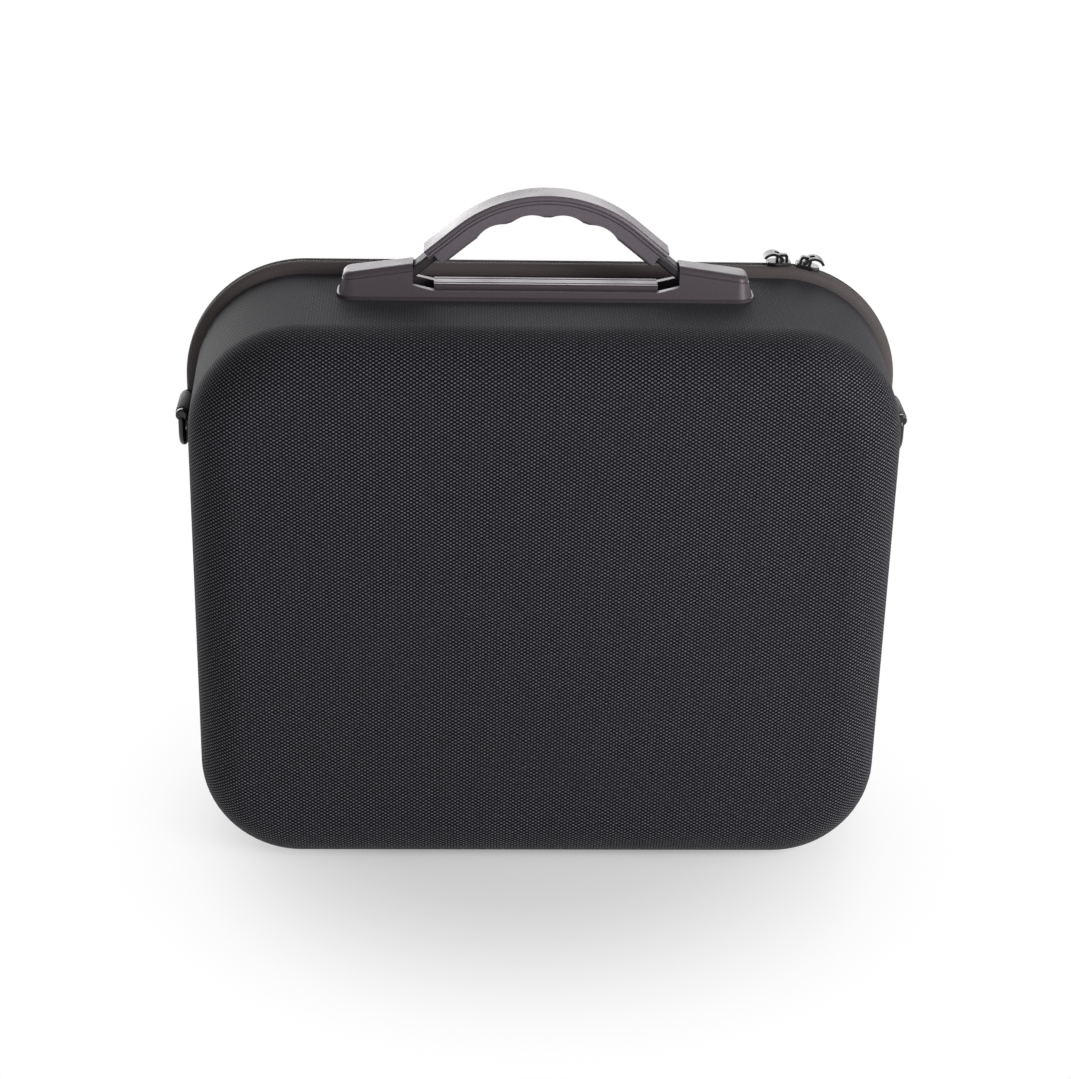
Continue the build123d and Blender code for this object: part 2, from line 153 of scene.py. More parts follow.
# %% Weave group
YARN_ACROSS = 1.43
YARN_ALONG = 0.9
WANDER_FINENESS = 240.0
TONE_FINENESS = 900.0
yarn_sizes = {"Across": YARN_ACROSS * MM, "Along": YARN_ALONG * MM, "Fray": 0.35}
tree, source, result = new_group("plain_weave", "Cloth", yarn_sizes, ["Dot", "Height", "Tone"])
weave_group = tree
cloth_place = source.outputs["Cloth"]
split = tree.nodes.new("ShaderNodeSeparateXYZ")
plug(tree, cloth_place, split.inputs[0])
drift = sums(tree, "SUBTRACT", noise(tree, cloth_place, WANDER_FINENESS, 2.0), 0.5)
wander = sums(tree, "MULTIPLY", drift, source.outputs["Fray"])
waves = []
for axis, pitch_name in enumerate(("Across", "Along")):
    turns = sums(tree, "DIVIDE", split.outputs[axis], source.outputs[pitch_name])
    turns = sums(tree, "ADD", turns, wander)
    waves.append(sums(tree, "COSINE", sums(tree, "MULTIPLY", turns, math.pi)))
crossing = sums(tree, "MULTIPLY", waves[0], waves[1])
plug(tree, ramp(tree, crossing, -0.05, 0.75), result.inputs["Dot"])
plug(tree, ramp(tree, crossing, -1.0, 1.0), result.inputs["Height"])
tone = noise(tree, cloth_place, TONE_FINENESS, 2.0)
plug(tree, ramp(tree, tone, 0.3, 0.7), result.inputs["Tone"])
print("weave group:", len(tree.nodes), "nodes")

# %% [markdown]
# Moulded plastic and rubber have a fine spark-eroded grain. Every surface also has
# a slow unevenness from handling and dust. Both could be painted by hand, but noise
# at two sizes gives them on any piece.

# %% Grain and patchiness groups
GRAIN_DETAIL, GRAIN_ROUGHNESS = 3.0, 0.5
PATCH_FINENESS = 22.0
grain_outputs = ["Height", "Speckle"]
grain_group, source, result = new_group("moulded_grain", "Place", {"Size": 1400.0}, grain_outputs)
place, size = source.outputs["Place"], source.outputs["Size"]
fine = noise(grain_group, place, size, GRAIN_DETAIL, GRAIN_ROUGHNESS)
plug(grain_group, fine, result.inputs["Height"])
plug(grain_group, ramp(grain_group, fine, 0.35, 0.65), result.inputs["Speckle"])

patch_group, source, result = new_group("patchiness", "Place", {}, ["Patch"])
slow = noise(patch_group, source.outputs["Place"], PATCH_FINENESS, 3.0)
plug(patch_group, ramp(patch_group, slow, 0.3, 0.7), result.inputs["Patch"])
print("grain and patchiness nodes:", len(grain_group.nodes), len(patch_group.nodes))

# %% [markdown]
# ## Finishes
# A finish starts from the Principled shader. Numbers that are the same all over go
# straight onto its sockets, and what changes over the surface comes from the groups.
# Colours are written as picture values from 0 to 255 and made linear here.

# %% Finish tools
def shade(*values):
    """A colour from its picture values."""
    shares = [value / 255 for value in values]
    return *(s / 12.92 if s <= 0.04045 else ((s + 0.055) / 1.055) ** 2.4 for s in shares), 1.0


def new_finish(name, roughness=0.5, metallic=0.0, specular=0.5):
    """A material with a Principled shader; the material, its tree and the shader."""
    finish = bpy.data.materials.new(name)
    finish.use_nodes = True
    tree = finish.node_tree
    shader = tree.nodes["Principled BSDF"]
    shader.inputs["Roughness"].default_value = roughness
    shader.inputs["Metallic"].default_value = metallic
    shader.inputs["Specular IOR Level"].default_value = specular
    return finish, tree, shader


def coordinates(tree, kind):
    """The piece's own coordinates, or its UV map."""
    return tree.nodes.new("ShaderNodeTexCoord").outputs[kind]


def use_group(tree, group, vector, **values):
    """Place a group in a material, reading a vector, with its own values."""
    node = tree.nodes.new("ShaderNodeGroup")
    node.node_tree = group
    plug(tree, vector, node.inputs[0])
    for label, value in values.items():
        node.inputs[label].default_value = value
    return node.outputs


def blend_colours(tree, factor, first, second):
    """Mix two colours."""
    node = tree.nodes.new("ShaderNodeMix")
    node.data_type = "RGBA"
    plug(tree, factor, node.inputs[0])
    plug(tree, first, node.inputs[6])
    plug(tree, second, node.inputs[7])
    return node.outputs[2]


def bump(tree, shader, height, distance, strength=1.0):
    """Turn a height into a bumped normal."""
    node = tree.nodes.new("ShaderNodeBump")
    node.inputs["Distance"].default_value = distance
    node.inputs["Strength"].default_value = strength
    plug(tree, height, node.inputs["Height"])
    plug(tree, node.outputs[0], shader.inputs["Normal"])


print("finish tools ready")

# %% [markdown]
# The shells' nylon has light yarn dots with nearly black gaps. They stand out on the
# faces. The side walls were pulled tight in the mould, so their gaps are closed and
# their relief is low. The even tone of their closed weave is set low, partly as
# painted shade. A mask could be painted, but a point's depth is enough for it.

# %% Woven nylon of the shells
FACE_STARTS, FACE_REACHED = 40.0, 60.0
# The closed weave's even dot value is kept low, partly as painted shade on the side walls.
TIGHTEST, SHADED_CLOSED_DOT = 0.7, 0.22
WEAR = 0.1
YARN_RELIEF = 0.16
nylon, tree, shader = new_finish("woven_nylon", specular=0.1)
yarns = use_group(tree, weave_group, coordinates(tree, "UV"))
place = coordinates(tree, "Object")
patches = use_group(tree, patch_group, place)

split = tree.nodes.new("ShaderNodeSeparateXYZ")
plug(tree, place, split.inputs[0])
from_middle = sums(tree, "ABSOLUTE", split.outputs["Y"])
tight_and_shaded = ramp(tree, from_middle, FACE_STARTS * MM, FACE_REACHED * MM, TIGHTEST, 0.0)
# Painted shade, in part: on the side walls the dots are pulled to one low, even value.
closing_and_shade = sums(tree, "MULTIPLY", sums(tree, "SUBTRACT", SHADED_CLOSED_DOT, yarns["Dot"]), tight_and_shaded)
dot = sums(tree, "ADD", yarns["Dot"], closing_and_shade)

yarn = blend_colours(tree, yarns["Tone"], shade(82, 81, 88), shade(114, 113, 120))
cloth = blend_colours(tree, dot, shade(4, 4, 6), yarn)
worn = sums(tree, "MULTIPLY", patches["Patch"], WEAR)
plug(tree, blend_colours(tree, worn, cloth, shade(34, 34, 38)), shader.inputs["Base Color"])
plug(tree, ramp(tree, dot, 0.0, 1.0, 0.75, 0.42), shader.inputs["Roughness"])
shader.inputs["Sheen Weight"].default_value = 0.03
shader.inputs["Sheen Roughness"].default_value = 0.4
raised = sums(tree, "MULTIPLY", yarns["Height"], sums(tree, "SUBTRACT", 1.0, tight_and_shaded))
bump(tree, shader, raised, YARN_RELIEF * MM, 0.9)
print("woven nylon:", len(tree.nodes), "nodes")

# %% [markdown]
# The lining, zipper tape, webbing, the insert's pile and the thread are weaves too,
# finer or coarser. Each could have its own nodes, but one function with two colours,
# two yarn sizes and a relief makes them all.

# %% Lining, tape, webbing, pile and thread
CLOTH_FRAY = 0.2
CLOTH_WEAR = 0.25


def cloth_finish(name, dark, light, across, along, relief, roughness=0.75, sheen=0.2, specular=0.3):
    """A cloth on the weave group; yarn sizes and relief are in millimetres."""
    finish, tree, shader = new_finish(name, roughness=roughness, specular=specular)
    yarn_sizes = {"Across": across * MM, "Along": along * MM, "Fray": CLOTH_FRAY}
    yarns = use_group(tree, weave_group, coordinates(tree, "UV"), **yarn_sizes)
    patches = use_group(tree, patch_group, coordinates(tree, "Object"))
    cloth = blend_colours(tree, yarns["Dot"], shade(*dark), shade(*light))
    middle = [(a + b) / 2 for a, b in zip(dark, light)]
    worn = sums(tree, "MULTIPLY", patches["Patch"], CLOTH_WEAR)
    plug(tree, blend_colours(tree, worn, cloth, shade(*middle)), shader.inputs["Base Color"])
    shader.inputs["Sheen Weight"].default_value = sheen
    shader.inputs["Sheen Roughness"].default_value = 0.45
    bump(tree, shader, yarns["Height"], relief * MM, 0.8)
    return finish


lining = cloth_finish("lining_knit", (28, 28, 31), (46, 46, 50), 0.8, 0.55, 0.08)
tape_cloth = cloth_finish("tape_twill", (80, 73, 73), (104, 96, 96), 0.7, 0.5, 0.05, 0.6, 0.0, 0.12)
webbing_cloth = cloth_finish("webbing_rib", (50, 49, 52), (112, 110, 113), 1.0, 1.3, 0.2, 0.65)
insert_cloth = cloth_finish("insert_pile", (42, 42, 45), (58, 58, 62), 0.6, 0.6, 0.06, 0.9, 0.35)
thread = cloth_finish("sewing_thread", (40, 40, 42), (74, 74, 78), 0.3, 0.3, 0.02, 0.6)
print("cloth finishes: 5")

# %% [markdown]
# The handle is dark moulded plastic with a rubber grip, whose gloss is faintly rosy.
# The rings are glossy plastic, the sliders dark plated metal. All are one recipe: two
# near colours speckled by the grain, a roughness that drifts, and a shallow bump,
# because a deep one would sparkle in the highlights.

# %% Hard finishes
WHITE = (1.0, 1.0, 1.0, 1.0)
ROSE = (1.0, 0.88, 0.95, 1.0)
SMOOTHER, ROUGHER = 0.05, 0.06


def hard_finish(name, colour, light, roughness, grain, relief, metallic=0.0, specular=0.5, gloss=WHITE):
    """A moulded or cast finish on the grain group."""
    finish, tree, shader = new_finish(name, roughness, metallic, specular)
    shader.inputs["Specular Tint"].default_value = gloss
    place = coordinates(tree, "Object")
    fine = use_group(tree, grain_group, place, Size=grain)
    patches = use_group(tree, patch_group, place)
    speckle = sums(tree, "MULTIPLY", fine["Speckle"], 0.5)
    plug(tree, blend_colours(tree, speckle, shade(*colour), shade(*light)), shader.inputs["Base Color"])
    drift = ramp(tree, patches["Patch"], 0.0, 1.0, roughness - SMOOTHER, roughness + ROUGHER)
    plug(tree, drift, shader.inputs["Roughness"])
    bump(tree, shader, fine["Height"], relief * MM, 0.6)
    return finish


handle_plastic = hard_finish("handle_plastic", (68, 62, 67), (76, 70, 75), 0.36, 1500.0, 0.01, gloss=ROSE)
grip_rubber = hard_finish("grip_rubber", (92, 86, 92), (102, 96, 102), 0.38, 1200.0, 0.01, gloss=ROSE)
strap_rubber = hard_finish("strap_rubber", (46, 42, 45), (56, 52, 55), 0.5, 1200.0, 0.01, specular=0.35)
ring_plastic = hard_finish("ring_plastic", (16, 16, 17), (24, 24, 26), 0.25, 900.0, 0.02)
slider_metal = hard_finish("slider_metal", (60, 58, 60), (82, 79, 81), 0.3, 2200.0, 0.006, metallic=1.0)
teeth_nylon = hard_finish("teeth_nylon", (38, 36, 37), (52, 49, 50), 0.35, 2500.0, 0.01)
plate_zinc = hard_finish("plate_zinc", (150, 152, 156), (178, 180, 184), 0.35, 260.0, 0.02, metallic=1.0)
print("hard finishes: 7")

# %% [markdown]
# The hard pieces have their shape in the CAD model. They could be modelled again, but
# that would only risk their fit, so they stay and only get their finish.

# %% Put finishes on the CAD pieces that stay
CAD_FINISHES = [
    (handle_plastic, ["handle_base"]),
    (strap_rubber, ["handle_strap"]),
    (grip_rubber, ["handle_grip"]),
    (slider_metal, ["slider_left", "slider_right", "pull_left", "pull_right"]),
    (ring_plastic, ["strap_ring_left", "strap_ring_right"]),
    (plate_zinc, ["handle_backing_plate", "handle_screws"]),
]
for finish, node_names in CAD_FINISHES:
    for node_name in node_names:
        finishes = bpy.data.objects[node_name].data.materials
        finishes.clear()
        finishes.append(finish)
print("finished CAD pieces:", sum(len(names) for _, names in CAD_FINISHES))

# %% [markdown]
# ## Working by hand, in code
# Blender's operators act on what is selected. These helpers do what the mouse does in
# the window: select one piece, or some of its vertices, edges or faces.

# %% Selecting
def leave_edit():
    """Go back to object mode."""
    bpy.ops.object.mode_set(mode="OBJECT")


def hands_off():
    """Leave edit mode and deselect everything."""
    if bpy.context.object and bpy.context.object.mode != "OBJECT":
        leave_edit()
    bpy.ops.object.select_all(action="DESELECT")


def alone(piece):
    """Select one piece and nothing else, in object mode."""
    hands_off()
    piece.select_set(True)
    bpy.context.view_layer.objects.active = piece


def pick(piece, kind, test=lambda part: True):
    """Open a piece in edit mode and select the parts of it that pass a test, or all."""
    alone(piece)
    bpy.ops.object.mode_set(mode="EDIT")
    bpy.ops.mesh.select_mode(type=kind)
    bpy.ops.mesh.select_all(action="DESELECT")
    mesh = bmesh.from_edit_mesh(piece.data)
    parts = {"VERT": mesh.verts, "EDGE": mesh.edges, "FACE": mesh.faces}[kind]
    for part in parts:
        if test(part):
            part.select_set(True)
    mesh.select_flush_mode()
    bmesh.update_edit_mesh(piece.data)


print("selecting ready")

# %% [markdown]
# A new primitive is named and its place is put into its mesh, so that every finished
# piece sits at the origin like the CAD pieces do. Modifiers are applied at once,
# because the next step works on their result.

# %% Making and measuring
EDGE_SEGMENTS = 2


def name_new(name):
    """Name the piece that was just made and put its place into its mesh."""
    piece = bpy.context.object
    piece.name = piece.data.name = name
    bpy.ops.object.transform_apply()
    return piece


def new_block(name, low, high):
    """A block between two corners, in millimetres."""
    hands_off()
    middle = [(a + b) / 2 * MM for a, b in zip(low, high)]
    size = [(b - a) * MM for a, b in zip(low, high)]
    bpy.ops.mesh.primitive_cube_add(size=1, location=middle, scale=size)
    return name_new(name)


def apply_modifier(piece, kind, **settings):
    """Add one modifier with its settings and apply it."""
    alone(piece)
    modifier = piece.modifiers.new(kind.title(), kind)
    for name, value in settings.items():
        setattr(modifier, name, value)
    bpy.ops.object.modifier_apply(modifier=modifier.name)


def round_edges(piece, width, degrees):
    """Round the edges of a piece that are sharper than an angle."""
    limit = {"limit_method": "ANGLE", "angle_limit": math.radians(degrees)}
    apply_modifier(piece, "BEVEL", width=width * MM, segments=EDGE_SEGMENTS, **limit)


def bevel_picked(width, segments, clamp=False):
    """Bevel the selected edges, by a width in millimetres."""
    bpy.ops.mesh.bevel(offset=width * MM, segments=segments, affect="EDGES", clamp_overlap=clamp)


def smooth(piece, degrees):
    """Shade a piece smooth, but keep the edges sharper than an angle."""
    alone(piece)
    bpy.ops.object.shade_smooth_by_angle(angle=math.radians(degrees))


def dress(piece, finish, degrees):
    """Put a finish on a piece and shade it smooth up to an angle."""
    piece.data.materials.append(finish)
    smooth(piece, degrees)


def tell(piece):
    """Print a piece's name, its triangles, and its lowest and highest corner in millimetres."""
    count = sum(len(face.vertices) - 2 for face in piece.data.polygons)
    by_axis = list(zip(*(vertex.co / MM for vertex in piece.data.vertices)))
    low = [round(min(values), 1) for values in by_axis]
    high = [round(max(values), 1) for values in by_axis]
    print(piece.name, count, "triangles, from", low, "to", high)


print("making and measuring ready")

# %% [markdown]
# ## Shells
# Each shell is foam board moulded under heat with its cover, so its corners and its
# face's edge are large even roundings. It could be lofted, but a block with two
# bevels is the same shape: first the four corners, then a little draft towards the
# face, then the rounding round the face.

# %% Rounded block of the case
HALF_WIDTH = 170.0
HEIGHT = 281.0
TOP_CORNER, BOTTOM_CORNER = 55.0, 50.0
CORNER_SEGMENTS, FACE_SEGMENTS = 18, 14
SAME_PLACE = 1e-5


def along_depth(edge):
    """True for an edge that runs from front to back."""
    a, b = (corner.co for corner in edge.verts)
    return abs(a.y - b.y) > 1 * MM and abs(a.x - b.x) + abs(a.z - b.z) < SAME_PLACE


def on_depth(part, depth):
    """True for an edge or face whose corners all lie at one depth, in millimetres."""
    return all(abs(corner.co.y - depth * MM) < SAME_PLACE for corner in part.verts)


def rounded_case(name, rim, face, draft, face_edge, inset=0.0):
    """A block with the case's corners, drafted towards its face, with the face's edge rounded."""
    low = (-HALF_WIDTH + inset, min(rim, face), inset)
    piece = new_block(name, low, (HALF_WIDTH - inset, max(rim, face), HEIGHT - inset))
    middle = HEIGHT / 2 * MM
    for radius, top in ((TOP_CORNER, True), (BOTTOM_CORNER, False)):
        pick(piece, "EDGE", lambda edge: along_depth(edge) and (edge.verts[0].co.z > middle) == top)
        bevel_picked(radius - inset, CORNER_SEGMENTS)
    pick(piece, "VERT", lambda corner: abs(corner.co.y - face * MM) < SAME_PLACE)
    narrower = 1 - draft / (HALF_WIDTH - inset)
    lower = 1 - draft / (HEIGHT - 2 * inset)
    bpy.ops.transform.resize(value=(narrower, 1, lower), center_override=(0, 0, inset * MM))
    pick(piece, "EDGE", lambda edge: on_depth(edge, face))
    bevel_picked(face_edge, FACE_SEGMENTS)
    leave_edit()
    return piece


print("case block", 2 * HALF_WIDTH, "by", HEIGHT, "mm")

# %% [markdown]
# The cloth was pulled over the mould from the middle of the face, so its weave runs
# straight over the face and on down the sides. A usual unwrap would cut that apart.
# The map is worked out instead: a point keeps its place in the front view and is
# pushed out by the extra length that the rounding and wall take up.

# %% Cloth map of a shell
def outward(x, z):
    """Direction out of the case in its front view."""
    centre_z = min(max(z, BOTTOM_CORNER), HEIGHT - TOP_CORNER)
    straight = HALF_WIDTH - (TOP_CORNER if z > HEIGHT / 2 else BOTTOM_CORNER)
    centre_x = min(max(x, -straight), straight)
    way = Vector((x - centre_x, z - centre_z))
    return way.normalized() if way.length > 1e-6 else Vector((0.0, 0.0))


def map_cloth(piece, flat):
    """Fill a piece's one UV map; flat says where in the flat cloth a point lies."""
    piece.data.uv_layers[0].name = "cloth"
    entries = piece.data.uv_layers[0].data
    for loop in piece.data.loops:
        entries[loop.index].uv = flat(piece.data.vertices[loop.vertex_index].co)


def lay_cloth(piece, face, face_edge):
    """UV map in metres that follows the cloth from the face over the edge and down the sides."""

    def flat(place):
        x, y, z = (v / MM for v in place)
        deep = abs(y - face)
        turn = math.acos(max(-1.0, 1 - min(deep, face_edge) / face_edge))
        longer = face_edge * (turn - math.sin(turn)) + max(0.0, deep - face_edge)
        way = outward(x, z) * longer
        return (x + way.x) * MM, (z + way.y) * MM

    map_cloth(piece, flat)


print("cloth map ready")

# %% [markdown]
# A shell is the rounded block without its rim face. A ring is inset in the flat face,
# which keeps its shading flat up to the rounding. Solidify gives the wall its
# thickness inwards and puts the lining on the inner side by its material offset.

# %% Two shells
WALL = 4.0
FACE_RING = 4.0
RIM_ROUNDING = 0.9
FRONT_FACE, FRONT_RIM = -65.0, 24.0
LID_RIM, LID_FACE = 35.0, 65.0
FRONT_DRAFT, LID_DRAFT = 3.0, 1.5
FRONT_EDGE, LID_EDGE = 24.0, 21.0


def make_shell(name, node_name, body, rim, face, draft, face_edge):
    """One shell: rounded, opened at its rim, covered, thickened and lined."""
    piece = rounded_case(name, rim, face, draft, face_edge)
    toward = -1 if face < rim else 1
    pick(piece, "FACE", lambda flat: flat.normal.y * toward > 0.99)
    bpy.ops.mesh.inset(thickness=FACE_RING * MM)
    pick(piece, "FACE", lambda flat: flat.normal.y * toward < -0.99)
    bpy.ops.mesh.delete(type="FACE")
    leave_edit()
    lay_cloth(piece, face, face_edge)
    piece.data.materials.append(nylon)
    piece.data.materials.append(lining)
    inwards = {"offset": -1.0, "use_even_offset": True, "material_offset": 1}
    apply_modifier(piece, "SOLIDIFY", thickness=WALL * MM, **inwards)
    round_edges(piece, RIM_ROUNDING, 55)
    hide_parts(node_name)
    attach(piece, body)
    return piece


front_shape = (FRONT_RIM, FRONT_FACE, FRONT_DRAFT, FRONT_EDGE)
front_cover = make_shell("front_cover", "front_shell", "front", *front_shape)
lid_cover = make_shell("lid_cover", "rear_shell", "lid", LID_RIM, LID_FACE, LID_DRAFT, LID_EDGE)
tell(lid_cover)

# %% [markdown]
# Four screws come up through the top wall into the handle. Their holes could be left
# out, but they show from inside, so a Boolean modifier cuts them with cylinders.

# %% Screw holes
SIDE_SLOPE = FRONT_DRAFT / (FRONT_RIM - FRONT_FACE)
HANDLE_Y = 0.0
SEAT = HEIGHT - SIDE_SLOPE * (FRONT_RIM - HANDLE_Y)
SCREW_PLACES = (-91.0, -79.0, 79.0, 91.0)
DRILL_RADIUS, DRILL_LENGTH = 1.9, 14.0


def cut_away(piece, cutter):
    """Cut one piece's shape out of another and delete the cutter."""
    apply_modifier(piece, "BOOLEAN", object=cutter, operation="DIFFERENCE", solver="EXACT")
    bpy.data.objects.remove(cutter)


for screw_x in SCREW_PLACES:
    hands_off()
    hole = (screw_x * MM, HANDLE_Y * MM, SEAT * MM)
    bpy.ops.mesh.primitive_cylinder_add(
        vertices=16, radius=DRILL_RADIUS * MM, depth=DRILL_LENGTH * MM, location=hole
    )
    cut_away(front_cover, name_new("drill"))
for piece in (front_cover, lid_cover):
    smooth(piece, 40)
    apply_modifier(piece, "WEIGHTED_NORMAL", keep_sharp=True, weight=80)
tell(front_cover)

# %% [markdown]
# ## Zipper
# The zipper runs from one bottom corner over the top to the other. A tape or a row
# of teeth is easiest to make straight, as a short length that an Array repeats, and
# a Curve modifier then lays it round the rim. The rim line is drawn flat, in XY, and
# the finished pieces are stood up afterwards.

# %% Rim line
QUARTER = math.pi / 2
ZIP_END = math.radians(60)
CURVE_STEPS, LENGTH_STEPS = 48, 256


def corner_point(side, turn, top=False):
    """A point on a corner of the rim, a turn away from its side, and the way the rim runs there."""
    radius = TOP_CORNER if top else BOTTOM_CORNER
    centre = Vector((side * (HALF_WIDTH - radius), HEIGHT - radius if top else radius))
    spoke = Vector((side * math.cos(turn), (1 if top else -1) * math.sin(turn)))
    return centre + spoke * radius, Vector((spoke.y, -spoke.x))


def half_rim(side):
    """Points down one side of the rim, from the top to the zipper's end."""
    upper = [corner_point(side, QUARTER, top=True), corner_point(side, 0, top=True)]
    return upper + [corner_point(side, 0), corner_point(side, ZIP_END)]


def rim_line(name, places, turns):
    """A flat curve through points of the rim, with the turn that each stretch makes."""
    path = bpy.data.curves.new(name, "CURVE")
    path.dimensions = "2D"
    path.resolution_u = CURVE_STEPS
    spline = path.splines.new("BEZIER")
    spline.bezier_points.add(len(places) - 1)
    for point, (place, way) in zip(spline.bezier_points, places):
        point.handle_left_type = point.handle_right_type = "FREE"
        point.co = place.to_3d() * MM
        point.handle_left = (place - way).to_3d() * MM
        point.handle_right = (place + way).to_3d() * MM
    for number, turn in enumerate(turns):
        (start, start_way), (end, end_way) = places[number : number + 2]
        gap = (end - start).length
        pull = gap / 3
        if turn:
            pull = gap / (2 * math.sin(turn / 2)) * 4 / 3 * math.tan(turn / 4)
        spline.bezier_points[number].handle_right = (start + start_way * pull).to_3d() * MM
        spline.bezier_points[number + 1].handle_left = (end - end_way * pull).to_3d() * MM
    line = bpy.data.objects.new(name, path)
    bpy.context.collection.objects.link(line)
    return line, spline.calc_length(resolution=LENGTH_STEPS) / MM


round_the_top = half_rim(-1)[::-1] + half_rim(1)
zip_turns = (ZIP_END, 0, QUARTER, 0, QUARTER, 0, ZIP_END)
zip_line, zip_length = rim_line("zip_line", round_the_top, zip_turns)
right_end = [corner_point(1, ZIP_END), corner_point(1, QUARTER)]
left_end = [corner_point(-1, QUARTER), corner_point(-1, ZIP_END)]
hinge_turns = (QUARTER - ZIP_END, 0, QUARTER - ZIP_END)
hinge_line, hinge_length = rim_line("hinge_line", right_end + left_end, hinge_turns)
print("zipper", round(zip_length, 1), "mm, hinge", round(hinge_length, 1), "mm")

# %% [markdown]
# Tapes, hinge strip and webbing are all ribbons. A ribbon starts as a plane between
# its first two rows, and its far edge is then extruded row by row. It could also be
# a bevelled curve, but rows give the cloth map for free, by adding up their distances.

# %% Ribbons
def at_ends(edge, ends):
    """True for an edge whose corners are the two ends of a row."""
    return all(min((corner.co - end).length for end in ends) < SAME_PLACE for corner in edge.verts)


def new_ribbon(name, rows, across):
    """A ribbon through rows of points in millimetres; across leads from one edge to the other."""
    hands_off()
    bpy.ops.mesh.primitive_plane_add(size=1)
    piece = name_new(name)
    first_rows = (rows[0], rows[0] + across, rows[1], rows[1] + across)
    for corner, place in zip(piece.data.vertices, first_rows):
        corner.co = place * MM
    for row, next_row in zip(rows[1:], rows[2:]):
        ends = (row * MM, (row + across) * MM)
        pick(piece, "EDGE", lambda edge: at_ends(edge, ends))
        bpy.ops.mesh.extrude_region_move(TRANSFORM_OT_translate={"value": (next_row - row) * MM})
    leave_edit()
    return piece


def map_ribbon(piece, rows, axis):
    """Cloth map of a ribbon whose rows run along one axis."""
    lengths = [0.0]
    for row, next_row in zip(rows, rows[1:]):
        lengths.append(lengths[-1] + (next_row - row).length)

    def flat(place):
        in_row = place / MM
        in_row[axis] = rows[0][axis]
        number = min(range(len(rows)), key=lambda i: (rows[i] - in_row).length)
        return place[axis], lengths[number] * MM

    map_cloth(piece, flat)


print("ribbons ready")

# %% [markdown]
# A strip on the rim is one short ribbon that an Array repeats with merged ends. It is
# mapped while it is straight, bent round the rim by the Curve modifier, stood up at
# the depth where the shells part, and thickened.

# %% Strips along the rim
PARTING = 29.5


def repeat(piece, count, step, **merging):
    """Repeat a piece along X with an Array, by a step in millimetres."""
    spacing = {"use_relative_offset": False, "use_constant_offset": True}
    spacing["constant_offset_displace"] = (step * MM, 0, 0)
    apply_modifier(piece, "ARRAY", count=count, **spacing, **merging)


def lay_on_rim(piece, line):
    """Bend a straight piece along the rim line, then stand it up at the parting depth."""
    apply_modifier(piece, "CURVE", object=line, deform_axis="POS_X")
    alone(piece)
    piece.matrix_world = Matrix.Translation((0, PARTING * MM, 0)) @ Matrix.Rotation(QUARTER, 4, "X")
    bpy.ops.object.transform_apply()


def turn_out(piece, outside):
    """Flip a piece's faces if most of them point away from its outside."""
    facing = sum(face.normal.dot(outside(face.center)) * face.area for face in piece.data.polygons)
    if facing < 0:
        pick(piece, "FACE")
        bpy.ops.mesh.flip_normals()
        leave_edit()


def rim_strip(name, section, line, length, steps, thickness, outside):
    """A whole strip; its section is in depth from the parting and height out of the rim."""
    step = length / steps
    rows = [Vector((0, height, -depth)) for depth, height in section]
    piece = new_ribbon(name, rows, Vector((step, 0, 0)))
    repeat(piece, steps, step, use_merge_vertices=True, merge_threshold=SAME_PLACE)
    turn_out(piece, outside)
    map_ribbon(piece, rows, axis=0)
    lay_on_rim(piece, line)
    apply_modifier(piece, "SOLIDIFY", thickness=thickness * MM, offset=-1.0, use_even_offset=True)
    return piece


print("shells part at", PARTING, "mm")

# %% [markdown]
# The two tapes make a soft ridge: each rises from its shell's rim, turns over in a
# rounded shoulder and runs up to the teeth. A folded edge could be simulated, but a
# drawn section repeats the fold cleanly all round.

# %% Zipper tapes
TAPE_SECTION = [(5.5, -3.0), (5.5, -1.0), (5.48, 0.8), (5.3, 2.2), (4.85, 3.4)]
TAPE_SECTION += [(4.1, 4.3), (3.1, 4.85), (2.2, 5.08), (1.5, 5.12)]
TAPE_STEPS, TAPE_THICK = 300, 1.0


def make_tape(name, body, side):
    """One zipper tape; side is -1 at the front shell and 1 at the lid."""
    section = [(side * depth, height) for depth, height in TAPE_SECTION]
    make = (zip_line, zip_length, TAPE_STEPS, TAPE_THICK)
    piece = rim_strip(name, section, *make, lambda place: Vector((0, place.y, place.z)))
    dress(piece, tape_cloth, 50)
    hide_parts("zipper_" + name)
    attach(piece, body)
    tell(piece)


make_tape("tape_front", "front", -1)
make_tape("tape_rear", "lid", 1)

# %% [markdown]
# A tooth is a small block with a rounded head and a lower root under the tape. It
# could be a sculpted hook, but it is only a millimetre wide, so it has few faces. The
# rear row starts half a tooth further on, so the two rows mesh.

# %% Zipper teeth
TOOTH_PITCH, TOOTH_HALF = 1.4, 0.45
TOOTH_FOOT, TOOTH_TOP = 2.8, 4.92
TOOTH_TIP, TOOTH_BACK, ROOT_LENGTH = 0.32, 1.4, 1.1
TOOTH_ROUNDING = 0.22
ROOT_SIZE = (0.9, 0.5, 1)


def on_head(edge):
    """True for an edge on top of a tooth or at its tip."""
    on_top = all(corner.co.y > (TOOTH_TOP - 0.02) * MM for corner in edge.verts)
    at_tip = all(abs(corner.co.z) < (TOOTH_TIP + 0.08) * MM for corner in edge.verts)
    return on_top or at_tip


